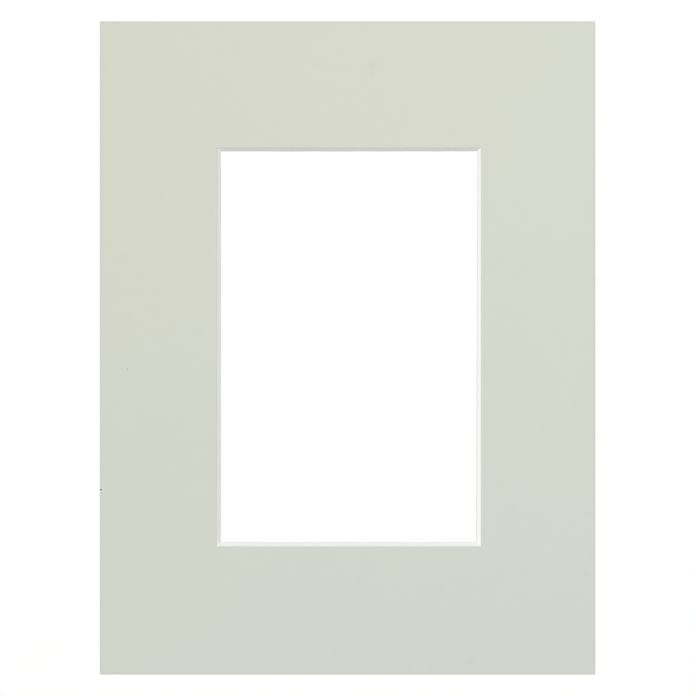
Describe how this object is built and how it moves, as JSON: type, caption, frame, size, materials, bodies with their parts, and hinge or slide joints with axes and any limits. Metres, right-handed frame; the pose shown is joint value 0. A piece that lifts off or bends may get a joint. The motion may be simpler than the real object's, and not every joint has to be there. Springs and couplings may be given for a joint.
{
  "type": "picture mount",
  "caption": "Rectangular picture mount: a flat sage grey-green board with a bevelled rectangular window that frames a print and keeps it off the glass.",
  "frame": {"origin": "centre of the board's back face, on the surface that the mount lies on", "axes": "+X to the right and +Y to the top of the picture as seen from the front, +Z out of the face"},
  "size_m": [0.18, 0.2374, 0.0015],
  "materials": {
    "mount_board": "matte"
  },
  "bodies": {
    "root": {"mount_board": "mount_board"}
  },
  "joints": []
}
